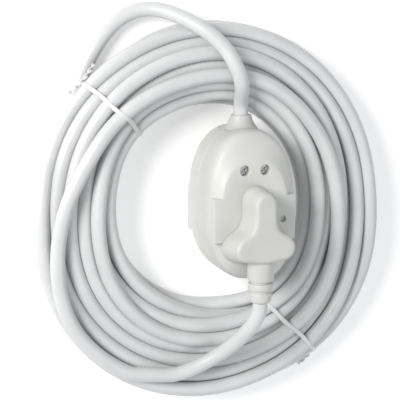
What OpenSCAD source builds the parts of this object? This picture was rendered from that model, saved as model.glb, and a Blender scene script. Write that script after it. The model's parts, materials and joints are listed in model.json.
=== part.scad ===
// Coiled extension lead: a double-faced three-pin socket coupler, ten metres of
// round flex, and a moulded three-pin plug that is parked in the coupler's front face.
// Millimetres. +Z is up, out of the coupler's front face; +Y points to its cord neck.
// The origin is the middle of the rear face, which rests on the floor.

/* [Coupler body] */
// Width of the coupler across its sides
body_w = 57; // [54:0.5:64]
// Half the width over the grip pads
pad_x = 26; // [25:0.5:28]
// Length of the coupler without its neck
body_l = 92; // [90:0.5:100]
// Thickness from the rear face to the front face
body_t = 50; // [50:0.5:56]
// Thickness of the side walls
wall = 2.5; // [2:0.1:2.6]
// Thickness of the two socket faces
face_t = 3.5; // [3:0.1:3.6]

/* [Pins and sockets] */
// Distance between the line and neutral pins
pin_pitch = 25.4; // [25.4]
// Distance from the line and neutral row to the earth pin
earth_pitch = 28.6; // [28.6]
// Diameter of the earth pin
earth_d = 8.7; // [8.65:0.01:8.75]
// Length of the earth pin
earth_len = 28.6; // [27.5:0.1:28.6]
// Diameter of the line and neutral pins
live_d = 7.05; // [7:0.01:7.1]
// Length of the line and neutral pins
live_len = 18.6; // [17.8:0.1:18.6]
// Earth hole of the front face, measured from the middle of the coupler
earth_y = 5; // [4.5:0.1:5.5]
// Radial gap between a pin and its contact sleeve
pin_gap = 0.05; // [0.02:0.01:0.1]
// Travel of a safety shutter
shutter_travel = 8.4; // [8:0.1:8.6]

/* [Plug] */
// Depth of the plug from its pin face to its back
plug_t = 20; // [19.5:0.5:24]
// Radius of the three lobes at the pin face
lobe_r = 8.6; // [8.2:0.1:9]
// Fillet where the lobes meet
lobe_fillet = 12; // [8:1:14]
// Size of the back of the plug as a share of its pin face
back_scale = 0.85; // [0.8:0.01:0.95]
// Length of the strain relief outside the plug
relief_len = 27.3; // [25:0.1:30]

/* [Cord] */
// Diameter of the flex
cord_d = 9; // [8.5:0.1:9.4]
// Outer radius of the coil
coil_r = 111; // [108:1:114]
// Extra half length of the coil along Y
coil_stretch = 7.5; // [4:0.5:10]
// Radius of the coil's hole
hole_r = 61; // [60:0.5:62]
// Height of the coil
coil_h = 28; // [26:0.5:30]
// Width of a twist tie
tie_w = 3; // [2.5:0.1:4]

/* [Hidden] */

$fn = 64;
eps = 0.01;
mid = body_t / 2;               // parting plane of the two covers
side = pin_pitch / 2;           // line and neutral pins sit at plus and minus this X
live_y = earth_y - earth_pitch; // line and neutral row of the front face
flip_y = earth_y + live_y;      // the rear face is the front face turned end for end

// Heights inside the coupler, front half; the rear half mirrors them about mid
plate_z = body_t - face_t;      // inner side of the front face
shutter_t = 2.2;
shutter_z = plate_z - 0.3 - shutter_t;
carrier_top = shutter_z - 0.3;
strap_t = 1.2;
strap_w = 7;
sleeve_t = 1.25;                // wall of a contact sleeve
sleeve_top = carrier_top - 0.7;

// Cover fastening and cord entry
screw_x = 6.4;
screw_y = 22.5;
boss_r = 4;
head_z = body_t - 5.5;          // seat of the cover screws' heads
clamp_y = 35.5;
clamp_l = 5;
clamp_x = 9.6;
sleeve_r = 6.2;                 // neck sleeve inside the housing
neck_tip = body_l / 2 + 7;
wire_z = 23.2;                  // height of the wire holes in the terminals
terminal_y = 10.9;
terminal_l = 7;
core_r = 1.5;
copper_r = 0.8;

// Plug
plug_z = body_t + 0.1;          // pin face of the plug
plug_mid = earth_y - 9;         // the plug's walls lean towards this Y
bridge_t = 4;
plug_wall = 3;
relief_z = plug_z + 9.5;
relief_y = live_y - lobe_r + 4; // outside of the plug's wall at that height
relief_tip = relief_y - relief_len;
core_start = relief_y + 3.6;    // where the plug's three cores leave the sheath

// Coil
coil_x = -13;
coil_y = -10;
hole_x = -14.5;
hole_y = -3.5;
tie_t = 0.6;
tie_upper = [-79, 59, 137];     // middle X and Y, and the direction it runs in
tie_lower = [40, -89, -44];

// Centre line of the flex from the neck, over the coil and down beside it
coupler_route = [
    [0, 53.2, 25], [0, 58, 25.2], [-0.8, 64, 26.8], [-2.5, 71, 29.5], [-7, 84, 33], [-15, 97, 33.5],
    [-24, 105.5, 30], [-33, 111.5, 23], [-42, 116.5, 15], [-52, 119, 9], [-62.5, 116.5, 6],
    [-73, 109.5, 4.6], [-81, 100, 4.6], [-87, 90, 4.6], [-92, 80.5, 4.6]
];
// Centre line of the flex from the plug's strain relief down onto the coil
plug_route = [
    [0, -55.8, 59.6], [0, -60, 59.5], [-1, -65, 58.2], [-3.5, -72, 54.5], [-8, -82, 47], [-15, -92, 39],
    [-26, -100, 34], [-38, -105, 32.7], [-50, -107.5, 31], [-62, -108.5, 26]
];

white = [0.93, 0.93, 0.91];
cord_white = [0.92, 0.93, 0.94];
brass = [0.80, 0.66, 0.32];
steel = [0.72, 0.72, 0.74];

// ---------- shared shapes ----------

function unit(v) = v / norm(v);
function power(v, p) = sign(v) * pow(abs(v), p);

// Rounded oval of a given full width and length
function oval(w, l) = [
    for (i = [0:71]) [w / 2 * power(cos(i * 5), 2 / 2.3), l / 2 * power(sin(i * 5), 2 / 2.3)]
];

module oval_plate(w, l, z0, z1, y = 0) {
    translate([0, y, z0]) linear_extrude(z1 - z0) polygon(oval(w, l));
}

module box(x0, x1, y0, y1, z0, z1) {
    translate([x0, y0, z0]) cube([x1 - x0, y1 - y0, z1 - z0]);
}

module rod(x, y, z0, z1, r) {
    translate([x, y, z0]) cylinder(r = r, h = z1 - z0);
}

module rod_y(x, z, y0, y1, r) {
    translate([x, y1, z]) rotate([90, 0, 0]) cylinder(r = r, h = y1 - y0);
}

// Turned shape about the Y direction from a list of [y, radius] points
module turned_y(z, profile) {
    last = len(profile) - 1;
    translate([0, 0, z]) rotate([-90, 0, 0]) rotate_extrude()
        polygon(concat([[0, profile[0][0]]], [for (p = profile) [p[1], p[0]]], [[0, profile[last][0]]]));
}

// Turns front-face geometry end for end onto the rear face
module on_rear() {
    translate([0, flip_y, body_t]) rotate([180, 0, 0]) children();
}

// Round tube along a list of points; the rings keep one side up
function along(p, i) = unit(p[min(i + 1, len(p) - 1)] - p[max(i - 1, 0)]);
function across(t) = unit(cross(t, abs(t[2]) > 0.9 ? [1, 0, 0] : [0, 0, 1]));
function ring(c, t, r, n) = [
    for (k = [0:n - 1])
        c + r * (cos(k * 360 / n) * across(t) + sin(k * 360 / n) * cross(across(t), t))
];

module tube(points, r, sides) {
    count = len(points);
    corners = [for (i = [0:count - 1]) each ring(points[i], along(points, i), r, sides)];
    walls = [
        for (i = [0:count - 2], k = [0:sides - 1], half = [0, 1])
            let (a = i * sides + k, b = i * sides + (k + 1) % sides)
                half == 0 ? [a, b, b + sides] : [a, b + sides, a + sides]
    ];
    start = [[for (k = [0:sides - 1]) sides - 1 - k]];
    end = [[for (k = [0:sides - 1]) (count - 1) * sides + k]];
    polyhedron(points = corners, faces = concat(walls, start, end));
}

// Point on the smooth curve through a route, a share f of the way from point i to i + 1
function curve_point(p, i, f) =
    let (
        last = len(p) - 1,
        b = p[i],
        c = p[i + 1],
        a = i > 0 ? p[i - 1] : 2 * b - c,
        d = i < last - 1 ? p[i + 2] : 2 * c - b
    )
    0.5 * (2 * b + (c - a) * f + (2 * a - 5 * b + 4 * c - d) * f * f
        + (3 * b - a - 3 * c + d) * f * f * f);

function smooth(p, steps) = concat(
    [for (i = [0:len(p) - 2], s = [0:steps - 1]) curve_point(p, i, s / steps)],
    [p[len(p) - 1]]
);

// ---------- coupler housing ----------

// Outer skin of one cover: steep side wall, rounded shoulder, raised flat face
module cover_skin() {
    face_w = body_w - 15;
    face_l = body_l - 28;
    hull() {
        oval_plate(body_w, body_l, mid, mid + 1);
        oval_plate(body_w - 1, body_l - 1, body_t - 9, body_t - 8);
        oval_plate(body_w - 6, body_l - 8, body_t - 4.5, body_t - 4);
        oval_plate(face_w, face_l, body_t - 1, body_t, -3);
    }
}

// Square-edged grip pads on both sides of a cover
module grip_pads() {
    for (s = [-1, 1])
        box(s > 0 ? 18 : -pad_x, s > 0 ? pad_x : -18, -20.5, 6.5, body_t - 14, body_t);
}

module cover_hollow() {
    oval_plate(body_w - 2 * wall, body_l - 2 * wall, mid - 1, body_t - 9);
    oval_plate(body_w - 11, body_l - 14, body_t - 9 - eps, plate_z);
}

module cover_shell() {
    difference() {
        union() {
            cover_skin();
            grip_pads();
        }
        cover_hollow();
    }
}

// The three pin holes of a face
module pin_holes(earth_hole_r, live_hole_r, z0, z1) {
    rod(0, earth_y, z0, z1, earth_hole_r);
    for (s = [-1, 1]) rod(s * side, live_y, z0, z1, live_hole_r);
}

// Opening in the end wall that both covers share for the neck sleeve
module neck_opening() {
    rod_y(0, mid, 40, body_l / 2 + 4, 7.1);
    rod_y(0, mid, body_l / 2 - 1.4, body_l / 2 + 4, 9.5);
}

module front_cover() {
    color(white) difference() {
        union() {
            cover_shell();
            for (s = [-1, 1]) rod(s * screw_x, screw_y, mid + 0.1, plate_z + 1, boss_r);
            box(-2, 2, 24, 26, shutter_z, plate_z + 1);
        }
        pin_holes(4.7, 3.9, plate_z - 1, body_t + 1);
        for (s = [-1, 1]) {
            rod(s * screw_x, screw_y, mid - 1, head_z + 1, 1.95);
            rod(s * screw_x, screw_y, head_z, body_t + 1, 3.1);
        }
        rod(18, -8, body_t - 2, body_t + 1, 2);
        neck_opening();
    }
}

// Lip on the rear cover that locates the front cover
module locating_lip() {
    difference() {
        union() {
            oval_plate(body_w - 2 * wall + 0.2, body_l - 2 * wall + 0.2, mid - 2, mid - 0.1);
            oval_plate(body_w - 2 * wall - 0.2, body_l - 2 * wall - 0.2, mid - 1, mid + 2);
        }
        oval_plate(body_w - 2 * wall - 3.2, body_l - 2 * wall - 3.2, mid - 3, mid + 3);
        rod_y(0, mid, 38, body_l / 2, 9.6);
    }
}

module rear_cover() {
    color(white) difference() {
        union() {
            translate([0, 0, body_t]) mirror([0, 0, 1]) cover_shell();
            locating_lip();
            for (s = [-1, 1]) {
                rod(s * screw_x, screw_y, face_t - 1, mid - 0.1, boss_r);
                rod(s * clamp_x, clamp_y, face_t - 1, mid, 2.4);
            }
            box(-8, 8, clamp_y - clamp_l / 2, clamp_y + clamp_l / 2, face_t - 1, mid - 0.5);
        }
        on_rear() pin_holes(4.7, 3.9, plate_z - 1, body_t + 1);
        for (s = [-1, 1]) {
            rod(s * screw_x, screw_y, 8, mid + 3, 1.8);
            rod(s * clamp_x, clamp_y, 10, mid + 1, 1.5);
        }
        rod_y(0, mid, clamp_y - clamp_l, clamp_y + clamp_l, sleeve_r + 0.05);
        neck_opening();
    }
}

// Cross-head screw, head up, with its seat at z
module cross_screw(x, y, z, head_r, head_h, shank_r, shank_l) {
    difference() {
        union() {
            rod(x, y, z - shank_l, z + 0.1, shank_r);
            rod(x, y, z, z + head_h, head_r);
        }
        for (turn = [45, 135])
            translate([x, y, z + head_h]) rotate([0, 0, turn])
                cube([head_r * 1.3, 0.7, 1.8], center = true);
    }
}

module cover_screws() {
    color(steel) for (s = [-1, 1]) cross_screw(s * screw_x, screw_y, head_z, 2.8, 2.3, 1.75, 32);
}

// ---------- contacts ----------

module carrier_outline(z0, z1, end_y) {
    intersection() {
        oval_plate(body_w - 15, body_l - 20, z0, z1);
        box(-30, 30, -40, end_y, z0 - 1, z1 + 1);
    }
}

// Room for every contact, a little larger than the contacts
module contact_room() {
    gap = 0.1;
    earth_room = earth_d / 2 + pin_gap + sleeve_t + gap;
    live_room = live_d / 2 + pin_gap + sleeve_t + gap;
    floor_z = mid - strap_t / 2 - gap;
    pin_holes(earth_room, live_room, floor_z, body_t);
    on_rear() pin_holes(earth_room, live_room, floor_z, body_t);
    rod(0, earth_y, mid - 5.6, mid + 1, earth_room);
    rod(0, live_y, mid - 1, mid + 5.6, earth_room);
    for (x = [-side, 0, side])
        box(x - strap_w / 2 - gap, x + strap_w / 2 + gap, live_y, 30,
            mid - strap_t / 2 - gap, mid + strap_t / 2 + gap);
}

module carrier_front() {
    color([0.85, 0.84, 0.80]) difference() {
        carrier_outline(mid, carrier_top, terminal_y - 0.1);
        contact_room();
    }
}

module carrier_rear() {
    color([0.85, 0.84, 0.80]) difference() {
        union() {
            carrier_outline(body_t - carrier_top, mid, terminal_y - 0.1);
            carrier_outline(body_t - carrier_top, wire_z - 2.3, terminal_y + terminal_l + 0.3);
        }
        contact_room();
    }
}

// Terminal block with its wire hole along Y and its screw hole from above
module terminal(x) {
    box(x - strap_w / 2, x + strap_w / 2, terminal_y, terminal_y + terminal_l, wire_z - 2.2, mid + 4);
}

module terminal_holes(x) {
    rod_y(x, wire_z, terminal_y + 0.6, terminal_y + terminal_l + 1, 1);
    rod(x, terminal_y + terminal_l / 2, wire_z + 1.2, mid + 5, 1.75);
}

// Strap with one sleeve towards each face and a terminal at its neck end.
// front_y and rear_y are the rows of its two sleeves.
module contact(x, pin_r, pin_len, front_y, rear_y) {
    bore_r = pin_r + pin_gap;
    reach = pin_len + 1;
    front_bottom = min(body_t - reach - 1, mid - strap_t / 2);
    color(brass) difference() {
        union() {
            rod(x, front_y, front_bottom, sleeve_top, bore_r + sleeve_t);
            rod(x, rear_y, body_t - sleeve_top, body_t - front_bottom, bore_r + sleeve_t);
            box(x - strap_w / 2, x + strap_w / 2, min(front_y, rear_y), terminal_y + 1,
                mid - strap_t / 2, mid + strap_t / 2);
            terminal(x);
        }
        rod(x, front_y, body_t - reach, body_t, bore_r);
        rod(x, rear_y, 0, reach, bore_r);
        terminal_holes(x);
        for (end = [[front_y, sleeve_top - 9, sleeve_top + 1], [rear_y, body_t - sleeve_top - 1, 16]])
            box(x - 10, x + 10, end[0] - 0.4, end[0] + 0.4, end[1], end[2]);
    }
}

module earth_contact() { contact(0, earth_d / 2, earth_len, earth_y, live_y); }
module line_contact() { contact(side, live_d / 2, live_len, live_y, earth_y); }
module neutral_contact() { contact(-side, live_d / 2, live_len, live_y, earth_y); }

module terminal_screws() {
    color(steel) for (x = [-side, 0, side])
        cross_screw(x, terminal_y + terminal_l / 2, mid + 6, 2.7, 2, 1.7, mid + 6 - wire_z - 1.25);
}

// ---------- safety shutters ----------

// Shutter plate of the front face in its open place; closing moves it towards -Y.
// room_y is the middle of the housing that it slides in.
module shutter_plate(room_y) {
    room_w = body_w - 12;
    room_l = body_l - 15;
    difference() {
        intersection() {
            box(-17.2, 17.2, live_y + 4.3, 13, shutter_z, shutter_z + shutter_t);
            oval_plate(room_w, room_l, shutter_z - 1, plate_z, room_y);
            oval_plate(room_w, room_l, shutter_z - 1, plate_z, room_y + shutter_travel);
        }
        rod(0, earth_y, shutter_z - 1, plate_z, 4.7);
    }
}

module front_shutter() {
    color([0.88, 0.88, 0.86]) shutter_plate(0);
}

module rear_shutter() {
    color([0.88, 0.88, 0.86]) on_rear() translate([0, -shutter_travel, 0]) shutter_plate(flip_y);
}

// Small compression spring along Y, from y0 to y1
module shutter_spring(y0, y1, z) {
    turns = 8;
    steps = 10;
    coil_d = 1.9;
    wire_d = 0.4;
    run = y1 - y0 - wire_d;
    helix = [
        for (i = [0:turns * steps])
            [coil_d / 2 * cos(i * 360 / steps), y0 + wire_d / 2 + run * i / (turns * steps),
                z + coil_d / 2 * sin(i * 360 / steps)]
    ];
    color(steel) tube(helix, wire_d / 2, 6);
}

module front_shutter_spring() { shutter_spring(13.1, 23.9, shutter_z + shutter_t / 2); }

module rear_shutter_spring() {
    shutter_spring(-(body_l - 14) / 2 + 0.3, flip_y - (13 - shutter_travel) - 0.1,
        body_t - shutter_z - shutter_t / 2);
}

// ---------- cord entry of the coupler ----------

module cord_clamp() {
    color(white) difference() {
        box(-11.9, 11.9, clamp_y - clamp_l / 2, clamp_y + clamp_l / 2, mid + 0.2, mid + 8.5);
        rod_y(0, mid, clamp_y - clamp_l, clamp_y + clamp_l, sleeve_r + 0.05);
        for (s = [-1, 1]) rod(s * clamp_x, clamp_y, mid - 1, mid + 9, 1.6);
    }
}

module clamp_screws() {
    color(steel) for (s = [-1, 1]) cross_screw(s * clamp_x, clamp_y, mid + 8.5, 2.4, 1.8, 1.45, 20);
}

// Tapered flexible sleeve, clamped inside the housing, that the cord leaves through
module neck_sleeve() {
    end_y = body_l / 2;
    color(white) difference() {
        turned_y(mid, [
            [33, sleeve_r], [end_y - 5.6, sleeve_r], [end_y - 5.6, 8.2], [end_y - 4.3, 8.2],
            [end_y - 4.3, 7], [end_y - 1.3, 7], [end_y - 1.3, 9.4], [end_y - 0.4, 9.3],
            [end_y + 2, 7.4], [neck_tip - 1.5, 6.2], [neck_tip, 5.9]
        ]);
        rod_y(0, mid, 32, neck_tip + 1, cord_d / 2 + 0.05);
    }
}

module cord_end() {
    color(cord_white) rod_y(0, mid, 31.5, neck_tip, cord_d / 2);
}

// Insulated core with a stripped end that runs into the terminal at x
module core(x) {
    stop_y = terminal_y + terminal_l + 0.1;
    s = sign(x);
    tube(smooth([
        [1.75 * s, 30.9, 26], [2.3 * s, 29.6, 26], [3.8 * s, 28.7, 26], [5.8 * s, 28.2, 25.8],
        [8.3 * s, 27.9, 25.3], [10.8 * s, 26.4, 24.7], [12.3 * s, 23.8, 23.9], [x, 21, wire_z],
        [x, stop_y, wire_z]
    ], 2), core_r, 8);
    rod_y(x, wire_z, terminal_y + 1, stop_y + 0.2, copper_r);
}

module line_core() { color([0.45, 0.26, 0.16]) core(side); }
module neutral_core() { color([0.25, 0.42, 0.75]) core(-side); }

module earth_core() {
    color([0.45, 0.66, 0.25]) {
        rod_y(0, wire_z, terminal_y + terminal_l + 0.1, 31.4, core_r);
        rod_y(0, wire_z, terminal_y + 1, terminal_y + terminal_l + 0.2, copper_r);
    }
}

// ---------- plug ----------

// Three-lobed outline, grown or shrunk by d
module plug_outline(d = 0) {
    $fn = 32;
    offset(r = -lobe_fillet) offset(r = lobe_fillet + d) {
        hull() {
            translate([0, earth_y]) circle(lobe_r);
            translate([0, live_y + 4]) circle(lobe_r);
        }
        hull() for (s = [-1, 1]) translate([s * side, live_y]) circle(lobe_r);
    }
}

module plug_body() {
    pocket_h = plug_t - 5;
    pocket_wall = plug_wall + 2.4;
    color(white) difference() {
        translate([0, plug_mid, plug_z]) linear_extrude(plug_t, scale = back_scale)
            translate([0, -plug_mid]) plug_outline();
        translate([0, 0, plug_z - 1]) linear_extrude(bridge_t + 1) bridge_outline();
        translate([0, 0, plug_z - 1]) linear_extrude(pocket_h + 1) plug_outline(-pocket_wall);
        rod_y(0, relief_z, live_y - lobe_r - 3, live_y, 5.8, $fn = 12);
        rod_y(0, relief_z, live_y - lobe_r - 3, relief_y + 0.05, 8.5, $fn = 12);
    }
}

// Outline of the bridge, cut straight where the strain relief enters the body
module bridge_outline(gap = 0) {
    intersection() {
        plug_outline(-plug_wall - gap);
        translate([-30, relief_y + 1 + gap]) square(60);
    }
}

// Rigid insert that holds the three pins and shows in the plug's pin face
module plug_bridge() {
    color([0.90, 0.90, 0.87]) difference() {
        translate([0, 0, plug_z]) linear_extrude(bridge_t - 0.1) bridge_outline(0.1);
        pin_holes(earth_d / 2 + 0.02, live_d / 2 + 0.02, plug_z - 1, plug_z + bridge_t);
    }
}

// Pin with a bevelled tip and a crimp barrel behind the bridge
module pin(x, y, d, length) {
    tip = body_t - length;
    bevel = 1.1;
    color(brass) translate([x, y, 0]) rotate_extrude() polygon([
        [0, tip], [d / 2 - bevel, tip], [d / 2 - 0.35, tip + 0.4], [d / 2, tip + bevel],
        [d / 2, plug_z + bridge_t - 0.1], [2, plug_z + bridge_t - 0.1],
        [2, plug_z + bridge_t + 4.5], [0, plug_z + bridge_t + 4.5]
    ]);
}

module earth_pin() { pin(0, earth_y, earth_d, earth_len); }
module line_pin() { pin(side, live_y, live_d, live_len); }
module neutral_pin() { pin(-side, live_y, live_d, live_len); }

// Flexible tail of the plug: anchor, plain segment, slot, collar and tapered end
module plug_strain_relief() {
    y0 = relief_y;
    color(white) difference() {
        translate([0, 0, relief_z]) rotate([90, 0, 0]) rotate_extrude() polygon([
            [0, -y0 - 4], [5.4, -y0 - 4], [5.4, -y0], [8, -y0], [8, -y0 + 13.8], [6.2, -y0 + 14.2],
            [6.2, -y0 + 15.3], [7.6, -y0 + 15.6], [7.4, -y0 + 19.8], [6.2, -y0 + 20.2],
            [6.2, -y0 + 21.3], [7, -y0 + 21.6], [6.4, -y0 + relief_len - 1],
            [5.8, -y0 + relief_len], [0, -y0 + relief_len]
        ]);
        rod_y(0, relief_z, relief_tip - 1, y0 + 5, cord_d / 2 + 0.05);
    }
}

module plug_cord_end() {
    color(cord_white) rod_y(0, relief_z, relief_tip, core_start - 0.5, cord_d / 2);
}

// Core inside the plug, from the end of the sheath to a crimp barrel
module plug_core(points, tint) { color(tint) tube(smooth(points, 2), 1.3, 8); }

// Route of the core to the line pin (s = 1) or the neutral pin (s = -1)
function live_core(s) = [
    [1.9 * s, core_start, 59.6], [2.3 * s, -23.1, 59.5], [3.5 * s, -22.1, 59.1], [5.1 * s, -21.7, 58.5],
    [6.8 * s, -21.9, 57.8], [8.6 * s, -22.6, 57.1], [10.5 * s, -23.3, 56.8]
];

module plug_line_core() { plug_core(live_core(1), [0.45, 0.26, 0.16]); }
module plug_neutral_core() { plug_core(live_core(-1), [0.25, 0.42, 0.75]); }

module plug_earth_core() {
    plug_core([[0, core_start, 62.2], [0, -20.5, 61.7], [0, -16, 60.5], [0, -11.5, 59.1],
        [0, -7, 57.9], [0, -2, 57.2], [0, 2.8, 57]], [0.45, 0.66, 0.25]);
}

// ---------- cord ----------

// Shape of the coiled flex: an oval disc with a round hole, low at its inner and outer edges
module coil_form(grow = 0, floor_z = 0) {
    top = coil_h + grow;
    outer = coil_r + grow;
    inner = hole_r - grow;
    rise = top / coil_h;
    edge = [
        [outer, floor_z], [outer, 8 * rise], [outer - 6, 17 * rise], [outer - 14, 24 * rise],
        [outer - 22, top], [0, top], [0, floor_z]
    ];
    difference() {
        translate([coil_x, coil_y, 0]) {
            translate([0, coil_stretch, 0]) rotate_extrude(angle = 180, $fn = 96) polygon(edge);
            rotate([0, 0, 180]) translate([0, coil_stretch, 0])
                rotate_extrude(angle = 180, $fn = 96) polygon(edge);
            translate([0, coil_stretch, 0]) rotate([90, 0, 0]) linear_extrude(2 * coil_stretch)
                polygon(concat(edge, [for (i = [4:-1:0]) [-edge[i][0], edge[i][1]]]));
        }
        translate([hole_x, hole_y, 0]) rotate_extrude($fn = 96) polygon([
            [0, -1], [inner, -1], [inner, 8 * rise], [inner + 6, 17 * rise],
            [inner + 14, 24 * rise], [inner + 22, top], [inner + 22, top + 1], [0, top + 1]
        ]);
    }
}

// Upright slab across the ring at one tie
module tie_slab(place, w, top) {
    translate([place[0], place[1], 0]) rotate([0, 0, place[2]])
        translate([-45, -w / 2, -1]) cube([90, w, top + 1]);
}

module twist_tie(place) {
    color([0.95, 0.95, 0.95]) intersection() {
        difference() {
            coil_form(tie_t);
            coil_form(0, tie_t + 0.1);
        }
        tie_slab(place, tie_w, 40);
    }
}

module twist_tie_upper() { twist_tie(tie_upper); }
module twist_tie_lower() { twist_tie(tie_lower); }

module cord_coil() {
    color(cord_white) difference() {
        coil_form();
        for (place = [tie_upper, tie_lower]) tie_slab(place, tie_w + 0.4, tie_t + 0.1);
    }
}

module lead_to_coupler() {
    color(cord_white) tube(coupler_route, cord_d / 2, 12);
}

module lead_to_plug() {
    color(cord_white) tube(plug_route, cord_d / 2, 12);
}

front_cover();
rear_cover();
cover_screws();
carrier_front();
carrier_rear();
earth_contact();
line_contact();
neutral_contact();
terminal_screws();
front_shutter();
rear_shutter();
front_shutter_spring();
rear_shutter_spring();
cord_clamp();
clamp_screws();
neck_sleeve();
cord_end();
line_core();
neutral_core();
earth_core();
plug_body();
plug_bridge();
earth_pin();
line_pin();
neutral_pin();
plug_strain_relief();
plug_cord_end();
plug_line_core();
plug_neutral_core();
plug_earth_core();
lead_to_coupler();
cord_coil();
lead_to_plug();
twist_tie_upper();
twist_tie_lower();
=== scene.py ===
"""Looks of the coiled extension cord: studio, cord, covers, plug, ties and materials, in that order."""
import json
import math

import bmesh
import bpy
import numpy as np
from mathutils import Matrix, Vector


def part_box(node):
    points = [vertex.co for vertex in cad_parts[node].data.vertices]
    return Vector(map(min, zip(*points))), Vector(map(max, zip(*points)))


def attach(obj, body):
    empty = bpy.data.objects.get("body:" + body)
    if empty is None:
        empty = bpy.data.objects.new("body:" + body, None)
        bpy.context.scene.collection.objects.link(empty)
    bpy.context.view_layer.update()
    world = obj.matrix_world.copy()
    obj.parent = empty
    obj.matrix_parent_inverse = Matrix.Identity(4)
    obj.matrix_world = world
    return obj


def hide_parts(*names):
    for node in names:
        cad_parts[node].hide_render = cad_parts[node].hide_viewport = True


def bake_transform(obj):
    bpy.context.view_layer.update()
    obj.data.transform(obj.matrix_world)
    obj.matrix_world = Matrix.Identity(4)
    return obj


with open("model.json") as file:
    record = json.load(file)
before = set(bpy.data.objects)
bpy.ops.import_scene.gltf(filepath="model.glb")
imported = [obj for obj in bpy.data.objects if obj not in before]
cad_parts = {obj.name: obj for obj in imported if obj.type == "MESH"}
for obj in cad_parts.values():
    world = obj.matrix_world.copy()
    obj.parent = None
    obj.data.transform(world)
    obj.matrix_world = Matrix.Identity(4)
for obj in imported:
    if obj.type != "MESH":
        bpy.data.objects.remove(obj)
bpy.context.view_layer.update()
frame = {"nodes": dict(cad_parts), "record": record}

MM = 0.001
nodes = frame["nodes"]

# ---------------------------------------------------------------- sizes, from the frame


def middle_of(node):
    """Middle of a CAD node's box."""
    low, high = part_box(node)
    return Vector([(a + b) / 2 for a, b in zip(low, high)])


cover_low, cover_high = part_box("front_cover")
BODY_T = cover_high.z                       # height of the front face
MID = BODY_T / 2                            # parting plane of the covers
BODY_L = cover_high.y - cover_low.y
PLUG_LOW, PLUG_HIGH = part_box("plug_body")
RELIEF_Z = middle_of("plug_cord_end").z      # height of the cord where it leaves the plug
EARTH_Y = middle_of("earth_pin").y
LIVE_Y = middle_of("line_pin").y
LIVE_X = middle_of("line_pin").x
SCREW_X, SCREW_Y, SCREW_SEAT = 6.4, 22.5, 44.5      # right-hand cover screw and its seat, in mm

# ---------------------------------------------------------------- camera, light, floor

TARGET = Vector((-17.5, -3.5, 0)) * MM
TOWARDS_CAMERA = Vector((-0.3207, 0.1933, 0.9272)).normalized()
CAMERA_DISTANCE = 0.9
LENS = 129.6                                # focal length in mm, on a sensor 36 mm wide


def make_camera():
    """Camera above the ring that keeps the world's Y upright in the picture."""
    data = bpy.data.cameras.new("camera")
    data.lens = LENS
    data.sensor_width = 36
    data.clip_start = 0.01
    camera = bpy.data.objects.new("camera", data)
    right = Vector((0, 1, 0)).cross(TOWARDS_CAMERA).normalized()
    up = TOWARDS_CAMERA.cross(right)
    turn = Matrix((right, up, TOWARDS_CAMERA)).transposed().to_4x4()
    camera.matrix_world = Matrix.Translation(TARGET + TOWARDS_CAMERA * CAMERA_DISTANCE) @ turn
    bpy.context.scene.collection.objects.link(camera)
    bpy.context.scene.camera = camera


def area_light(name, place, size, power, colour):
    """Round soft light that faces the origin."""
    data = bpy.data.lights.new(name, "AREA")
    data.shape = "DISK"
    data.size = size
    data.energy = power
    data.color = colour
    lamp = bpy.data.objects.new(name, data)
    place = Vector(place)
    lamp.matrix_world = Matrix.Translation(place) @ place.to_track_quat("Z", "Y").to_matrix().to_4x4()
    bpy.context.scene.collection.objects.link(lamp)


def make_studio():
    """Pale surroundings, a key light from the left, a weak fill, and a floor that stays nearly white."""
    scene = bpy.context.scene
    scene.view_settings.view_transform = "Standard"
    world = bpy.data.worlds.new("studio")
    world.use_nodes = True
    world.node_tree.nodes["Background"].inputs["Color"].default_value = (0.97, 0.985, 1, 1)
    world.node_tree.nodes["Background"].inputs["Strength"].default_value = 0.5
    scene.world = world
    area_light("key", (-0.95, 0.4, 0.75), 0.55, 14, (1, 0.985, 0.965))
    area_light("fill", (0.5, -0.5, 1.0), 0.9, 3.5, (0.95, 0.97, 1))
    bpy.ops.mesh.primitive_plane_add(size=6, location=(0, 0, 0))
    floor = bpy.context.object
    floor.name = "floor"
    surface = bpy.data.materials.new("floor")
    surface.use_nodes = True
    shader = surface.node_tree.nodes["Principled BSDF"]
    shader.inputs["Base Color"].default_value = (0.94, 0.94, 0.94, 1)
    shader.inputs["Roughness"].default_value = 0.9
    shader.inputs["Emission Color"].default_value = (1, 1, 1, 1)
    shader.inputs["Emission Strength"].default_value = 0.22
    floor.data.materials.append(surface)


make_camera()
make_studio()

# ---------------------------------------------------------------- cord route

CORD_D = 0.009
APART = 0.0089                  # strands press into each other a little
STEP = 0.005                    # spacing of the points while the cord settles
DRAWN_STEP = 0.0045             # spacing of the rings of the cord's mesh
REACH = CORD_D * 2.2            # strands nearer than this are tested for contact
FIRST_ANGLE = 145               # where the free loop becomes the outermost strand, in degrees
HOLE = (-14.5, -3.5, 60.5)      # middle and radius of the ring's hole, in mm
OUTSIDE = (-13, -10, 111)       # middle and radius of the ring's outside, in mm
STRETCH = 7.5                   # extra half length of the outside along Y, in mm
LEAN = 0.14                     # the pile leans towards -X by this much per height
LOOP_CROSSING = (-12, 94)       # where the free loop crosses the ring, in mm
LOOP_LIFT = 0.026               # the loop starts this much higher there
TAIL_LIFT = 0.014               # the tail starts this much higher, away from the plug
TIES = {"upper": (-79, 59, 137), "lower": (40, -89, -44)}     # middle in mm, and angle on the ring

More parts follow.
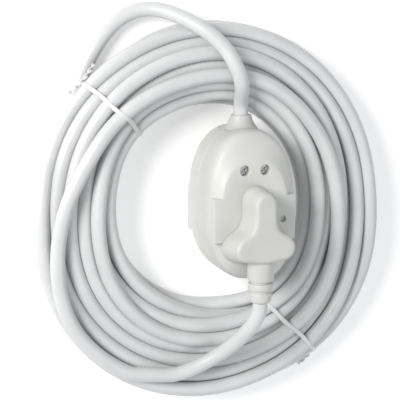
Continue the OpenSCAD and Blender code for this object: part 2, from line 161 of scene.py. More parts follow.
# Free stretches of the cord, in mm: neck to floor, and plug to the ring
NECK_ROUTE = [
    (0, 53, 25), (0, 58, 25.2), (-0.8, 64, 26.8), (-2.5, 71, 29.5), (-7, 84, 33), (-15, 97, 33.5),
    (-24, 105.5, 30), (-33, 111.5, 23), (-42, 116.5, 15), (-52, 119, 9), (-62.5, 116.5, 6),
    (-73, 109.5, 4.6), (-81, 100, 4.6), (-87, 90, 4.6), (-92, 80.5, 4.6),
]
PLUG_ROUTE = [
    (0, -55.8, 59.6), (0, -60, 59.5), (-1, -65, 58.2), (-3.5, -72, 54.5), (-8, -82, 47), (-15, -92, 39),
    (-26, -100, 34), (-38, -105, 32.7), (-50, -107.5, 31),
]

# How the ring is laid: turns so far, lane (0 at the hole, 1 at the outside), layer.
# Each layer spirals the other way; the last strand crosses the left side from the hole outwards.
LAYING = [
    (0, 1, 0), (4.3, 0, 0), (4.7, 0.04, 1), (8.7, 0.94, 1), (9.1, 0.94, 2), (12.4, 0.2, 2), (12.8, 0.16, 3),
    (14.9, 0.62, 3), (15.35, 0.62, 3.1), (15.93, 0.26, 3.4), (16, 0.34, 3.4), (16.08, 0.63, 3.3),
    (16.14, 0.95, 3.2), (16.21, 1, 3.1), (16.26, 0.9, 3), (16.29, 0.84, 3),
]


def smooth_curve(points, per_span=8):
    """Catmull-Rom curve through the points."""
    p = np.array(points, float)
    p = np.vstack([2 * p[0] - p[1], p, 2 * p[-1] - p[-2]])
    made = []
    for a, b, c, d in zip(p[:-3], p[1:-2], p[2:-1], p[3:]):
        for f in np.arange(per_span) / per_span:
            made.append(0.5 * (2 * b + (c - a) * f + (2 * a - 5 * b + 4 * c - d) * f**2
                               + (3 * b - a - 3 * c + d) * f**3))
    return np.array(made + [p[-2]])


def run_along(points):
    """Distance along the curve at each point."""
    return np.concatenate([[0], np.cumsum(np.linalg.norm(np.diff(points, axis=0), axis=1))])


def at_runs(points, run, at):
    """Points of the curve at these distances along it."""
    return np.column_stack([np.interp(at, run, points[:, k]) for k in range(3)])


def spaced(points, step):
    """The same curve with its points a step apart."""
    run = run_along(points)
    return at_runs(points, run, np.linspace(0, run[-1], round(run[-1] / step) + 1))


def bump(angle, middle, width):
    """1 at the middle angle, falling smoothly to 0 about a width away, in degrees."""
    away = (angle - middle + 180) % 360 - 180
    return np.exp(-((away / width) ** 2))


def inner_edge(angle):
    """Edge of the hole at these angles, in metres: round, pushed outwards at the two ties."""
    x, y, radius = HOLE
    radius = radius + 4 * bump(angle, TIES["upper"][2], 24) + 4 * bump(angle, TIES["lower"][2], 26)
    a = np.radians(angle)
    return np.column_stack([x + radius * np.cos(a), y + radius * np.sin(a)]) * MM


def outer_edge(angle):
    """Outside of the ring at these angles, in metres: two half circles, drawn apart along Y."""
    x, y, radius = OUTSIDE
    radius = radius - 2 * bump(angle, 25, 35) + 3 * bump(angle, -45, 30)
    a = np.radians(angle)
    drawn = STRETCH * np.tanh(3 * np.sin(a))
    return np.column_stack([x + radius * np.cos(a), y + radius * np.sin(a) + drawn]) * MM


def coil_turns():
    """Centre line of the ring before it settles, with room between the layers."""
    rows = np.array(LAYING, float)
    turn = np.arange(0, rows[-1, 0], 3 / 360)
    even = np.ones(15) / 15
    lane, layer = [
        np.convolve(np.pad(np.interp(turn, rows[:, 0], rows[:, k]), 7, mode="edge"), even, mode="valid")
        for k in (1, 2)
    ]
    lane = lane[:, None]
    angle = FIRST_ANGLE + 360 * turn
    a = np.radians(angle)
    half = CORD_D / 2
    way = np.column_stack([np.cos(a), np.sin(a)])
    xy = (inner_edge(angle) + half * way) * (1 - lane) + (outer_edge(angle) - half * way) * lane
    xy[:, 0] -= LEAN * layer * CORD_D * 0.9
    return np.column_stack([xy, half + layer * CORD_D * 1.1 + 0.0006 * turn])


def neighbours(p, reach):
    """Pairs of a point and a segment's start that are within reach but not side by side on the cord."""
    q = p.astype(np.float32)
    square = (q * q).sum(1)
    near = square[:, None] + square[None, :] - 2 * q @ q.T < reach * reach
    i, j = np.nonzero(near)
    keep = (np.abs(i - j) > 4) & (j < len(p) - 1)
    return i[keep], j[keep]


def ring_walls(p):
    """Holds the turns between the hole's edge and the outside."""
    for (x, y, _), edge, sign in ((HOLE, inner_edge, 1), (OUTSIDE, outer_edge, -1)):
        middle = np.array([x, y]) * MM
        out = p[:, :2] - middle
        out[:, 0] += LEAN * p[:, 2]
        angle = np.degrees(np.arctan2(out[:, 1], out[:, 0]))
        r = np.linalg.norm(out, axis=1)
        limit = np.linalg.norm(edge(angle) - middle, axis=1) + sign * CORD_D / 2
        if sign > 0:
            limit += 0.3 * p[:, 2] * bump(angle, 78, 22)        # room for the neck and its loop
        short = np.maximum(sign * (limit - r), 0) * sign
        p[:, :2] += out / r[:, None] * (short * 0.5)[:, None]


def push_apart(p, i, j):
    """Moves points and segments that are closer than a diameter away from each other."""
    count = len(p)
    start, step = p[j], p[j + 1] - p[j]
    share = np.clip(((p[i] - start) * step).sum(1) / (step * step).sum(1), 0, 1)
    gap = p[i] - start - share[:, None] * step
    dist = np.linalg.norm(gap, axis=1)
    hit = dist < APART
    hi, hj, hs = i[hit], j[hit], share[hit]
    push = gap[hit] / dist[hit][:, None] * (APART - dist[hit])[:, None]
    move = np.zeros_like(p)
    hits = np.zeros(count)
    point, first, second = np.full(len(hi), 0.5), 0.5 * (1 - hs), 0.5 * hs
    for index, weight, sign in ((hi, point, 1), (hj, first, -1), (hj + 1, second, -1)):
        amount = push * (sign * weight)[:, None]
        for k in range(3):
            move[:, k] += np.bincount(index, amount[:, k], count)
        hits += np.bincount(index, weight * 2, count)
    p += move / np.maximum(hits, 1)[:, None] * 1.3


def soften(u, sigma):
    """Low-pass of a row of vectors along the cord, sigma in points."""
    reach = int(3 * sigma)
    kernel = np.exp(-0.5 * (np.arange(-reach, reach + 1) / sigma) ** 2)
    kernel /= kernel.sum()
    padded = np.pad(u, ((reach, reach), (0, 0)), mode="edge")
    return np.column_stack([np.convolve(padded[:, k], kernel, mode="valid") for k in range(3)])


def stiffness(p):
    """Fourth difference along the cord, which resists bends that change quickly."""
    bend = np.zeros_like(p)
    bend[2:-2] = p[:-4] - 4 * p[1:-3] + 6 * p[2:-2] - 4 * p[3:-1] + p[4:]
    return bend


def settle(p, home, free, ringed, rounds, fall):
    """Lets the cord come to rest on the floor and on itself while it keeps its long, even bends.

    p is where it starts and home its own shape. free is 0 at the held ends, ringed is 1 inside the ring.
    Each round sinks by fall, evens out how far the cord has moved from home, and pushes strands apart.
    """
    free, inside = free[:, None], ringed[:, None]
    ring = np.nonzero(ringed >= 1)[0]
    ring = slice(ring[0], ring[-1])
    for turn in range(rounds):
        done = turn / rounds
        if turn % 8 == 0:
            i, j = neighbours(p, REACH)
        p[:, 2] -= fall * (1 if done < 0.5 else 0.4 if done < 0.75 else 0)
        u = p - home
        even = soften(u, 10 - 6 * min(1, done / 0.8)) * inside + soften(u, 2.5) * (1 - inside)
        p = home + (0.6 * u + 0.4 * even) * free
        p -= stiffness(p) * free * (0.01 + 0.05 * inside)
        for again in range(2 if done < 0.75 else 3):
            push_apart(p, i, j)
            p[:, 2] = np.maximum(p[:, 2], CORD_D / 2)
            ring_walls(p[ring])
            p = home + (p - home) * free
    p = home + soften(p - home, 1.5) * free
    # the free stretches alone clear whatever they still touch in the ring
    loose = free * (1 - inside)
    i, j = neighbours(p, REACH)
    for again in range(80):
        moved = p.copy()
        push_apart(moved, i, j)
        p += (moved - p) * loose
        p -= 0.02 * stiffness(p) * loose
    p[:, 2] = np.maximum(p[:, 2], CORD_D / 2)
    return p


def cord_route():
    """Centre line of the whole cord, from the neck's mouth to the plug's strain relief, in metres."""
    ring = spaced(coil_turns(), STEP)
    loop = spaced(smooth_curve(NECK_ROUTE) * MM, STEP)
    tail = spaced(smooth_curve(PLUG_ROUTE) * MM, STEP)[::-1]
    # the last strand's home eases from its layer to the height of the tail
    last = np.clip((np.arange(len(ring)) - len(ring) + 90) / 86, 0, 1)
    last = last * last * (3 - 2 * last)
    lower = ring.copy()
    lower[:, 2] = ring[:, 2] * (1 - last) + tail[0, 2] * last
    home = np.vstack([loop[:-1], lower[3:-3], tail[1:]])
    # both free stretches start above the ring and come down on it
    away = np.linalg.norm(loop[:, :2] - np.array(LOOP_CROSSING) * MM, axis=1)
    past_neck = np.clip((loop[:, 1] - 0.06) / 0.012, 0, 1)
    loop[:, 2] += LOOP_LIFT * np.exp(-((away / 0.024) ** 2)) * past_neck
    back = np.linalg.norm(tail - tail[-1], axis=1)
    tail[:, 2] += TAIL_LIFT * np.clip(back / 0.05, 0, 1)
    start = np.vstack([loop[:-1], ring[3:-3], tail[1:]])
    run = run_along(home)
    at = np.linspace(0, run[-1], round(run[-1] / STEP) + 1)
    start, home = at_runs(start, run, at), at_runs(home, run, at)
    k = np.arange(len(home))
    ends = np.minimum(k, len(k) - 1 - k)
    free = np.clip((ends - 1) / 3, 0, 1)
    ringed = np.clip(1 + np.minimum(k - len(loop), len(k) - len(tail) - k) / 15, 0, 1)
    rounds, fall = ((240, 0.0008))
    return spaced(settle(start, home, free, ringed, rounds, fall), DRAWN_STEP)


def tube_mesh(name, path, radius, sides=16):
    """Closed round tube along a path, its rings turned as little as possible from one to the next."""
    path = np.asarray(path, float)
    way = np.gradient(path, axis=0)
    way /= np.linalg.norm(way, axis=1)[:, None]
    side = np.cross(way[0], (0, 0, 1.0))
    side /= np.linalg.norm(side)
    turns = np.arange(sides) * 2 * math.pi / sides
    verts = []
    for centre, t in zip(path, way):
        side = side - t * side.dot(t)
        side /= np.linalg.norm(side)
        up = np.cross(side, t)
        verts.append(centre + radius * (np.cos(turns)[:, None] * side + np.sin(turns)[:, None] * up))
    verts = np.vstack(verts)
    faces = []
    for ring in range(len(path) - 1):
        a = ring * sides
        for k in range(sides):
            n = (k + 1) % sides
            faces.append((a + k, a + sides + k, a + sides + n, a + n))
    faces.append(tuple(range(sides)))
    faces.append(tuple(range(len(verts) - 1, len(verts) - sides - 1, -1)))
    return new_piece(name, verts, faces)


def new_piece(name, verts, faces, sharp=35):
    """Mesh object with smooth shading that keeps edges sharper than this angle."""
    mesh = bpy.data.meshes.new(name)
    mesh.from_pydata([tuple(v) for v in verts], [], faces)
    work = bmesh.new()
    work.from_mesh(mesh)
    bmesh.ops.remove_doubles(work, verts=work.verts, dist=1e-7)
    bmesh.ops.recalc_face_normals(work, faces=work.faces)
    work.to_mesh(mesh)
    work.free()
    piece = bpy.data.objects.new(name, mesh)
    bpy.context.scene.collection.objects.link(piece)
    shade(piece, sharp)
    return piece


def shade(piece, sharp):
    """Smooth shading that keeps edges sharper than this angle, in degrees."""
    mesh = piece.data
    mesh.polygons.foreach_set("use_smooth", [True] * len(mesh.polygons))
    mesh.set_sharp_from_angle(angle=math.radians(sharp))


route = cord_route()
cord = tube_mesh("cord", route, CORD_D / 2)

# ---------------------------------------------------------------- mesh helpers


def ring_points(w, l, z, y=0.0, count=128):
    """Rounded oval of full width w and length l at height z, all in mm."""
    a = np.arange(count) * 2 * math.pi / count
    c, s = np.cos(a), np.sin(a)
    x = w / 2 * np.sign(c) * np.abs(c) ** (2 / 2.3)
    v = l / 2 * np.sign(s) * np.abs(s) ** (2 / 2.3)
    return np.column_stack([x, v + y, np.full(count, z)]) * MM


def quads(low, high, count):
    """Faces between two rings of count vertices that start at these indices."""
    faces = []
    for k in range(count):
        n = (k + 1) % count
        faces.append((low + k, low + n, high + n, high + k))
    return faces


def shell_faces(rings, split):
    """Faces of a hollow form: rings before split are its outside, the others its inside, one cap on each."""
    count = len(rings[0])
    faces = []
    for r in range(len(rings)):
        if r != split - 1:
            faces += quads(r * count, (r + 1) % len(rings) * count, count)
    faces.append(tuple((split - 1) * count + k for k in range(count)))
    faces.append(tuple(split * count + k for k in range(count - 1, -1, -1)))
    return faces


def loft(rings, name, sharp=35):
    """Closed solid through a list of rings of equal length, with a flat fan at each end."""
    count = len(rings[0])
    verts = np.vstack(rings + [rings[0].mean(0)[None], rings[-1].mean(0)[None]])
    first, last = len(rings) * count, len(rings) * count + 1
    faces = []
    for r in range(len(rings) - 1):
        faces += quads(r * count, (r + 1) * count, count)
    top = (len(rings) - 1) * count
    for k in range(count):
        n = (k + 1) % count
        faces.append((first, n, k))
        faces.append((last, top + k, top + n))
    return new_piece(name, verts, faces, sharp)


def lathe(name, profile, place, axis, sides=48, sharp=35):
    """Turned solid: profile is (distance along the axis, radius) in mm, place in metres."""
    turn = Vector((0, 0, 1)).rotation_difference(Vector(axis)).to_matrix()
    rings = []
    for along, radius in profile:
        a = np.arange(sides) * 2 * math.pi / sides
        local = [Vector((radius * math.cos(t), radius * math.sin(t), along)) * MM for t in a]
        rings.append(np.array([turn @ v + Vector(place) for v in local]))
    return loft(rings, name, sharp)


def boolean(piece, tools, operation, sharp=35):
    """Applies exact booleans, then removes the tools."""
    for tool in tools:
        step = piece.modifiers.new("cut", "BOOLEAN")
        step.operation = operation
        step.solver = "EXACT"
        step.object = tool
    bpy.context.view_layer.update()
    view = bpy.context.evaluated_depsgraph_get()
    made = bpy.data.meshes.new_from_object(piece.evaluated_get(view))
    piece.modifiers.clear()
    piece.data = made
    for tool in tools:
        bpy.data.objects.remove(tool)
    shade(piece, sharp)
    return piece


def rounded_box(name, low, high, radius, segments=3):
    """Box with rounded edges, corners in mm."""
    work = bmesh.new()
    bmesh.ops.create_cube(work, size=1)
    size = Vector(high) - Vector(low)
    middle = (Vector(high) + Vector(low)) / 2
    for v in work.verts:
        v.co = Vector((v.co.x * size.x, v.co.y * size.y, v.co.z * size.z)) + middle
        v.co *= MM
    bmesh.ops.bevel(work, geom=work.edges[:], offset=radius * MM, segments=segments, profile=0.5,
                    affect="EDGES")
    mesh = bpy.data.meshes.new(name)
    work.to_mesh(mesh)
    work.free()
    piece = bpy.data.objects.new(name, mesh)
    bpy.context.scene.collection.objects.link(piece)
    return piece


def hole(x, y, z0, z1, radius, chamfer=0.0, top=None):
    """Cutter for a round hole from z0 to z1, in mm, widened where it meets the face at top."""
    profile = [(z0, radius), (z1, radius)]
    if chamfer:
        wide = radius + chamfer + 0.5
        profile = [(z0, radius), (top - chamfer, radius), (top + 0.5, wide), (z1, wide)]
    return lathe("cutter", profile, (x * MM, y * MM, 0), (0, 0, 1), 40)


# ---------------------------------------------------------------- coupler covers

FACE = round(BODY_T / MM, 3)                # height of the front face above the floor, in mm
ABOVE = FACE + 2                            # cutters end here, clear of the face
PAD_X = 26                                  # half the width over the grip pads, in mm
EARTH_HOLE, LIVE_HOLE = 4.7, 3.9            # radii of the pin holes, in mm
SCREW_RECESS = 3.1                          # radius of the recess over a cover screw, in mm

# Outer form of one cover above the parting plane: height, width, length, Y shift, in mm
COVER_FORM = [
    (25.04, 56.3, 91.3, 0), (25.3, 57, 92, 0), (30, 57, 92, 0), (36, 56.8, 91.8, 0), (40, 56.3, 91.2, 0),
    (42.4, 55.2, 89.8, 0), (44, 53.6, 87.6, 0), (45.2, 51.4, 84.6, 0), (46.2, 49, 80.8, -0.6),
    (47.2, 46.8, 76, -1.3), (48.2, 45, 71.4, -2), (49, 43.8, 68, -2.5), (49.5, 43, 66, -2.8),
    (49.85, 42, 64.2, -3), (50, 41, 62.8, -3), (50, 34, 52, -3),
]
COVER_INSIDE = [
    (46.5, 30, 50, -3), (46.5, 40, 66, -2), (44, 46, 78, 0), (41, 51.4, 86.4, 0), (25.04, 52, 87, 0),
]


def cover(name, holes):
    """One half of the housing with its grip pads and screw bosses."""
    rings = [ring_points(w, l, z, y) for z, w, l, y in COVER_FORM + COVER_INSIDE]
    shell = new_piece(name, np.vstack(rings), shell_faces(rings, len(COVER_FORM)))
    pads = [
        rounded_box("pad", (12, -20.5, 36), (PAD_X, 6.5, FACE), 0.7),
        rounded_box("pad", (-PAD_X, -20.5, 36), (-12, 6.5, FACE), 0.7),
    ]
    bosses = [hole(s * SCREW_X, SCREW_Y, 25.1, 47.5, 4) for s in (-1, 1)]
    boolean(shell, pads + bosses, "UNION")
    return boolean(shell, holes, "DIFFERENCE")


def neck_cutter():
    """Round seat for the neck sleeve, with room for its flange."""
    return lathe("cutter", [(38, 7.1), (44.6, 7.1), (44.6, 9.5), (50, 9.5)], (0, 0, MID), (0, 1, 0), 48)


def front_cover():
    """The shell with three pin holes, two screw recesses and two small holes in its raised face."""
    holes = [
        hole(0, EARTH_Y / MM, 44, ABOVE, EARTH_HOLE, 0.5, FACE), neck_cutter(),
        hole(18, -8, 48, ABOVE, 2, 0.3, FACE), hole(17.8, 15.9, 49.6, ABOVE, 0.8, 0.2, FACE),
    ]
    for s in (-1, 1):
        holes.append(hole(s * LIVE_X / MM, LIVE_Y / MM, 44, ABOVE, LIVE_HOLE, 0.5, FACE))
        holes.append(hole(s * SCREW_X, SCREW_Y, SCREW_SEAT, ABOVE, SCREW_RECESS, 0.35, FACE))
    return cover("front_shell", holes)


def rear_cover():
    """The front form turned over, with the rear face's sockets."""
    holes = [hole(0, LIVE_Y / MM, 44, ABOVE, EARTH_HOLE, 0.5, FACE), neck_cutter()]
    for s in (-1, 1):
        holes.append(hole(s * LIVE_X / MM, EARTH_Y / MM, 44, ABOVE, LIVE_HOLE, 0.5, FACE))
    shell = cover("rear_shell", holes)
    shell.data.transform(Matrix.Translation((0, 0, BODY_T)) @ Matrix.Diagonal((1, 1, -1, 1)))
    shell.data.flip_normals()
    return shell


front_shell = front_cover()
rear_shell = rear_cover()


def neck():
    """Tapered sleeve that the cord leaves the coupler through."""
    end = BODY_L / 2 / MM
    profile = [
        (33, 4.6), (33, 6.2), (end - 5.6, 6.2), (end - 5.6, 8.2), (end - 4.3, 8.2), (end - 4.3, 7),
        (end - 1.3, 7), (end - 1.3, 10.2), (end - 0.7, 10.1), (end - 0.2, 9.5), (end + 0.8, 8.7),
        (end + 2, 8), (end + 3.4, 7.3), (end + 5, 6.8), (end + 6.3, 6.5), (end + 6.8, 6.3),
        (end + 7, 5.9), (end + 7, 4.6), (end + 6, 4.55),
    ]
    return lathe("neck", profile, (0, 0, MID), (0, 1, 0))


neck_piece = neck()

# ---------------------------------------------------------------- plug

LOBE_FILLET = 13                            # how widely the lobes run into each other, in mm
RELIEF_START = 28.2                         # where the relief leaves the plug's body, in mm towards -Y


def plug_ring(radius, z, lean, count=144):
    """Three-lobed outline at height z in mm. lean is 0 at the pin face and 1 at the back."""
    earth = np.array([0, EARTH_Y / MM - 0.2 * lean])
    live = np.array([LIVE_X / MM - lean, LIVE_Y / MM + 2.1 * lean])
    middle = np.array([0, live[1] + 4.0])
    a = np.arange(count) * 2 * math.pi / count
    way = np.column_stack([np.cos(a), np.sin(a)])

    def off(p):
        """Distance from the T that joins the three pins, rounded where its arms meet."""
        x = np.abs(p[:, 0])
        arm = np.hypot(x, p[:, 1] - np.clip(p[:, 1], live[1] + 3, earth[1]))
        bar = np.hypot(x - np.clip(x, 0, live[0]), p[:, 1] - live[1])
        blend = np.clip(0.5 + 0.5 * (bar - arm) / LOBE_FILLET, 0, 1)
        return bar * (1 - blend) + arm * blend - LOBE_FILLET * blend * (1 - blend)

    low, high = np.zeros(count), np.full(count, 45.0)
    for again in range(30):
        half = (low + high) / 2
        inside = off(middle + half[:, None] * way) < radius
        low, high = np.where(inside, half, low), np.where(inside, high, half)
    edge = middle + low[:, None] * way
    return np.column_stack([edge, np.full(count, z)]) * MM


def plug_body():
    """Moulded body: a leaning wall and rounded back, with a pocket and a bore for the relief."""
    z0, z1 = PLUG_LOW.z / MM, PLUG_HIGH.z / MM
    tall = z1 - z0
    rings = []
    # from the pin face up the leaning wall, round the back edge, then the pocket from below
    for share, shrink in ((0, 0.5), (0.012, 0.12), (0.035, 0), (0.25, 0), (0.5, 0), (0.75, 0), (0.88, 0),
                          (0.925, 0.15), (0.96, 0.5), (0.985, 1.05), (0.997, 1.7), (1, 2.4), (1, 3.6)):
        rings.append(plug_ring(8.6 - 2.0 * share - shrink, z0 + tall * share, share))
    inside = [(3.5, 15), (3.6, 4.05), (5.6, 4.05), (5.6, 0)]
    split = len(rings)
    rings += [plug_ring(r, z0 + h, 0) for r, h in inside]
    body = new_piece("plug_shell", np.vstack(rings), shell_faces(rings, split))
    seat = RELIEF_START - 0.05
    bore = lathe("cutter", [(18, 5.5), (seat, 5.5), (seat, 8.05), (40, 8.05)], (0, 0, RELIEF_Z), (0, -1, 0))
    return boolean(body, [bore], "DIFFERENCE")


def strain_relief():
    """Plain segment, slot, collar, slot and tapered end, with softened edges."""
    # distance from where it leaves the plug, and radius
    outline = [
        (-4, 4.6), (-4, 5.4), (0, 5.4), (0, 7.9), (13.2, 8), (13.7, 7.7), (13.9, 7.0), (14, 6.2),
        (15.2, 6.2), (15.3, 7.0), (15.6, 7.5), (16.2, 7.65), (19.2, 7.5), (19.7, 7.2), (19.9, 6.7),
        (20.1, 6.25), (21.2, 6.25), (21.4, 6.7), (21.9, 6.95), (26, 6.5), (26.9, 6.1), (27.3, 5.4),
        (27.3, 4.6), (26, 4.55),
    ]
    profile = [(RELIEF_START + along, radius) for along, radius in outline]
    return lathe("relief", profile, (0, 0, RELIEF_Z), (0, -1, 0))


plug_shell = plug_body()
relief_piece = strain_relief()

# ---------------------------------------------------------------- twist ties

FREE_POINTS = 45                            # points of the route that belong to the loop over the neck
TIE_REACH = 0.045                           # strands this near to a tie's middle are inside it
BAND_HALF, BAND_THICK = 0.0014, 0.0003      # half the width and half the thickness of a tie


def strands_at(place):
    """Where the cord crosses a tie's upright plane: distance along the tie and height, in metres."""
    x, y, angle = place
    a = math.radians(angle)
    along, normal = np.array([math.cos(a), math.sin(a)]), np.array([-math.sin(a), math.cos(a)])
    flat = route[:, :2] - np.array([x, y]) * MM
    side, run = flat @ normal, flat @ along
    found = []
    for k in range(len(route) - 1):
        if side[k] * side[k + 1] < 0 and abs(run[k]) < TIE_REACH and k > FREE_POINTS:
            f = side[k] / (side[k] - side[k + 1])
            height = route[k, 2] + f * (route[k + 1, 2] - route[k, 2])
            found.append((run[k] + f * (run[k + 1] - run[k]), height))
    return np.array(found), along, normal


def hull_2d(points):
    """Convex outline of flat points, counter-clockwise."""
    points = sorted(map(tuple, points))

    def half(order):
        chain = []
        for p in order:
            while len(chain) > 1:
                (ax, ay), (bx, by) = chain[-2], chain[-1]
                if (bx - ax) * (p[1] - ay) - (by - ay) * (p[0] - ax) > 0:
                    break
                chain.pop()
            chain.append(p)
        return chain[:-1]

    return np.array(half(points) + half(points[::-1]))


def tie(name, place):
    """Flat band drawn tight round all the strands, and where its ends are twisted together."""
    strands, along, normal = strands_at(place)
    turns = np.arange(24) * 2 * math.pi / 24
    circle = np.column_stack([np.cos(turns), np.sin(turns)]) * (CORD_D / 2 + BAND_THICK)
    outline = hull_2d(np.vstack([s + circle for s in strands]))
    outline[:, 1] = np.maximum(outline[:, 1], 0.0004)
    closed = np.vstack([outline, outline[:1]])
    loop = spaced(np.column_stack([closed, np.zeros(len(closed))]), 0.0015)[:-1, :2]
    base = np.array([place[0], place[1]]) * MM
    middle = loop.mean(0)
    section = (
        (-BAND_HALF, -BAND_THICK), (BAND_HALF, -BAND_THICK),
        (BAND_HALF * 0.8, BAND_THICK), (-BAND_HALF * 0.8, BAND_THICK),
    )
    verts, faces = [], []
    count = len(loop)
    for k, p in enumerate(loop):
        t = loop[(k + 1) % count] - loop[k - 1]
        n = np.array([t[1], -t[0]]) / np.linalg.norm(t)
        if n @ (p - middle) < 0:
            n = -n
        wave = 0.0004 * math.sin(k * 0.35)
        for side, out in section:
            q = p + n * out
            at = base + along * q[0] + normal * (side + wave)
            verts.append((at[0], at[1], q[1]))
        faces += quads(4 * k, 4 * ((k + 1) % count), 4)
    outer = strands[strands[:, 0].argmax()]
    knot = (*(base + along * (outer[0] + CORD_D / 2 + 0.0012)), outer[1] - 0.0005)
    return new_piece(name, verts, faces), knot, along, normal


def twisted_end(name, start, way, bend, length, turns):
    """Short twisted ribbon, one end of a tie. way is its direction over the floor, bend how far it sinks."""
    start, way, bend = Vector(start), Vector((*way, 0)).normalized(), Vector((0, 0, bend))
    verts, faces = [], []
    steps = 40
    for k in range(steps + 1):
        f = k / steps
        centre = start + way * (length * f) + bend * (f * f)
        side = way.cross(Vector((0, 0, 1))).normalized()
        up = way.cross(side)
        a = f * turns * 2 * math.pi
        flat = side * math.cos(a) + up * math.sin(a)
        thin = up * math.cos(a) - side * math.sin(a)
        for s, t in ((-1, -1), (1, -1), (1, 1), (-1, 1)):
            verts.append(centre + flat * (s * 0.0012) + thin * (t * 0.0004))
    for k in range(steps):
        faces += quads(4 * k, 4 * (k + 1), 4)
    faces.append((0, 1, 2, 3))
    faces.append(tuple(4 * steps + c for c in (3, 2, 1, 0)))
    return new_piece(name, verts, faces)


tie_pieces = []
for key, place in TIES.items():
    band, knot, along, normal = tie("tie_" + key, place)
    ends = [
        twisted_end(f"tie_{key}_end_a", knot, normal + 0.1 * along, -0.002, 0.01, 1),
        twisted_end(f"tie_{key}_end_b", knot, -normal + 0.05 * along, -0.003, 0.013, 1.5),
    ]
    tie_pieces.append((key, band, ends))

# ---------------------------------------------------------------- materials


def plastic(name, colour, roughness, grain, depth, tint=0.04, soft=0.06):
    """Moulded or extruded plastic: faint mottling, a fine grain in the surface, and light that sinks in.

    grain is how fine the grain is and depth how strong, tint how much the colour varies.
    """
    made = bpy.data.materials.new(name)
    made.use_nodes = True
    tree = made.node_tree
    shader = tree.nodes["Principled BSDF"]
    place = tree.nodes.new("ShaderNodeTexCoord")
    cloud = tree.nodes.new("ShaderNodeTexNoise")
    cloud.inputs["Scale"].default_value = 60
    cloud.inputs["Detail"].default_value = 4
    ramp = tree.nodes.new("ShaderNodeValToRGB")
    ramp.color_ramp.elements[0].color = (*[c * (1 - tint) for c in colour], 1)
    ramp.color_ramp.elements[1].color = (*[min(1, c * (1 + tint * 0.6)) for c in colour], 1)
    ramp.color_ramp.elements[0].position = 0.3
    ramp.color_ramp.elements[1].position = 0.7
    fine = tree.nodes.new("ShaderNodeTexNoise")
    fine.inputs["Scale"].default_value = grain
    fine.inputs["Detail"].default_value = 3
    rough = tree.nodes.new("ShaderNodeMapRange")
    rough.inputs["To Min"].default_value = roughness - 0.07
    rough.inputs["To Max"].default_value = roughness + 0.07
    bump_node = tree.nodes.new("ShaderNodeBump")
    bump_node.inputs["Strength"].default_value = depth
    bump_node.inputs["Distance"].default_value = 0.0002
    link = tree.links.new
    for texture in (cloud, fine):
        link(place.outputs["Object"], texture.inputs["Vector"])
    link(cloud.outputs["Fac"], ramp.inputs["Fac"])
    link(ramp.outputs["Color"], shader.inputs["Base Color"])
    link(fine.outputs["Fac"], rough.inputs["Value"])
    link(rough.outputs["Result"], shader.inputs["Roughness"])
    link(fine.outputs["Fac"], bump_node.inputs["Height"])
    link(bump_node.outputs["Normal"], shader.inputs["Normal"])
    shader.inputs["Subsurface Weight"].default_value = soft
    shader.inputs["Subsurface Radius"].default_value = (0.002, 0.002, 0.0018)
    shader.inputs["Subsurface Scale"].default_value = 1
    shader.inputs["IOR"].default_value = 1.5
    return made


def metal(name, colour, roughness, streak=200):
    """Drawn or plated metal with fine scratches along Z."""
    made = bpy.data.materials.new(name)
    made.use_nodes = True
    tree = made.node_tree
    shader = tree.nodes["Principled BSDF"]
    shader.inputs["Metallic"].default_value = 1
    place = tree.nodes.new("ShaderNodeTexCoord")
    stretch = tree.nodes.new("ShaderNodeMapping")
    stretch.inputs["Scale"].default_value = (streak * 6, streak * 6, streak)
    fine = tree.nodes.new("ShaderNodeTexNoise")
    fine.inputs["Scale"].default_value = 1
    fine.inputs["Detail"].default_value = 5
    ramp = tree.nodes.new("ShaderNodeValToRGB")
    ramp.color_ramp.elements[0].color = (*[c * 0.8 for c in colour], 1)
    ramp.color_ramp.elements[1].color = (*colour, 1)
    rough = tree.nodes.new("ShaderNodeMapRange")
    rough.inputs["To Min"].default_value = roughness - 0.08
    rough.inputs["To Max"].default_value = roughness + 0.12
    bump_node = tree.nodes.new("ShaderNodeBump")
    bump_node.inputs["Strength"].default_value = 0.15
    bump_node.inputs["Distance"].default_value = 0.0001
    link = tree.links.new
    link(place.outputs["Object"], stretch.inputs["Vector"])
    link(stretch.outputs["Vector"], fine.inputs["Vector"])
    link(fine.outputs["Fac"], ramp.inputs["Fac"])
    link(ramp.outputs["Color"], shader.inputs["Base Color"])
    link(fine.outputs["Fac"], rough.inputs["Value"])
    link(rough.outputs["Result"], shader.inputs["Roughness"])
    link(fine.outputs["Fac"], bump_node.inputs["Height"])
    link(bump_node.outputs["Normal"], shader.inputs["Normal"])
    return made


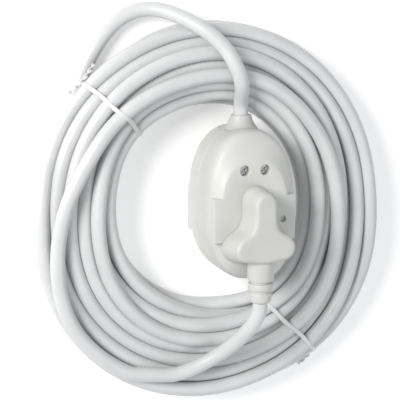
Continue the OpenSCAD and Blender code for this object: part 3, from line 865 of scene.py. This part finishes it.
LOOKS = {
    "cover_white": plastic("cover_white", (0.585, 0.59, 0.565), 0.45, 1400, 0.25),
    "plug_white": plastic("plug_white", (0.54, 0.545, 0.52), 0.48, 1400, 0.25),
    "relief_white": plastic("relief_white", (0.55, 0.555, 0.535), 0.5, 1600, 0.25),
    "cord_white": plastic("cord_white", (0.60, 0.608, 0.612), 0.42, 1800, 0.18, tint=0.05),
    "tie_white": plastic("tie_white", (0.65, 0.655, 0.65), 0.4, 1200, 0.2, soft=0.2),
    "carrier_cream": plastic("carrier_cream", (0.72, 0.70, 0.62), 0.6, 1000, 0.4),
    "shutter_white": plastic("shutter_white", (0.74, 0.74, 0.72), 0.55, 1000, 0.3),
    "bridge_white": plastic("bridge_white", (0.76, 0.76, 0.73), 0.5, 1200, 0.3),
    "core_brown": plastic("core_brown", (0.23, 0.11, 0.06), 0.4, 1200, 0.2),
    "core_blue": plastic("core_blue", (0.07, 0.2, 0.5), 0.4, 1200, 0.2),
    "core_green_yellow": plastic("core_green_yellow", (0.26, 0.5, 0.08), 0.4, 1200, 0.2),
    "brass": metal("brass", (0.80, 0.62, 0.28), 0.3),
    "steel": metal("steel", (0.42, 0.42, 0.43), 0.34),
}


def finish_with(piece, slot):
    """Gives a piece one material and names its slot."""
    piece.data.materials.clear()
    piece.data.materials.append(LOOKS[slot])


for row in frame["record"]["subparts"]:
    finish_with(nodes[row["node"]], row["material_slot"])

for piece, slot, body, stands_for in (
    (front_shell, "cover_white", "coupler", "front_cover"),
    (rear_shell, "cover_white", "coupler", "rear_cover"),
    (neck_piece, "relief_white", "coupler", "neck_sleeve"),
    (plug_shell, "plug_white", "plug", "plug_body"),
    (relief_piece, "relief_white", "plug", "plug_strain_relief"),
):
    finish_with(piece, slot)
    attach(piece, body)
    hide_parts(stands_for)

for key, band, ends in tie_pieces:
    for piece in (band, *ends):
        finish_with(piece, "tie_white")
        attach(piece, "coupler")
    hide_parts("twist_tie_" + key)

finish_with(cord, "cord_white")
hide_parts("lead_to_coupler", "cord_coil", "lead_to_plug")
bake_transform(cord)
plug_nodes = frame["record"]["behaviour"]["bodies"]["plug"]
plug_pieces = [plug_shell, relief_piece]
plug_pieces += [nodes[n] for n in plug_nodes if n not in ("plug_body", "plug_strain_relief")]
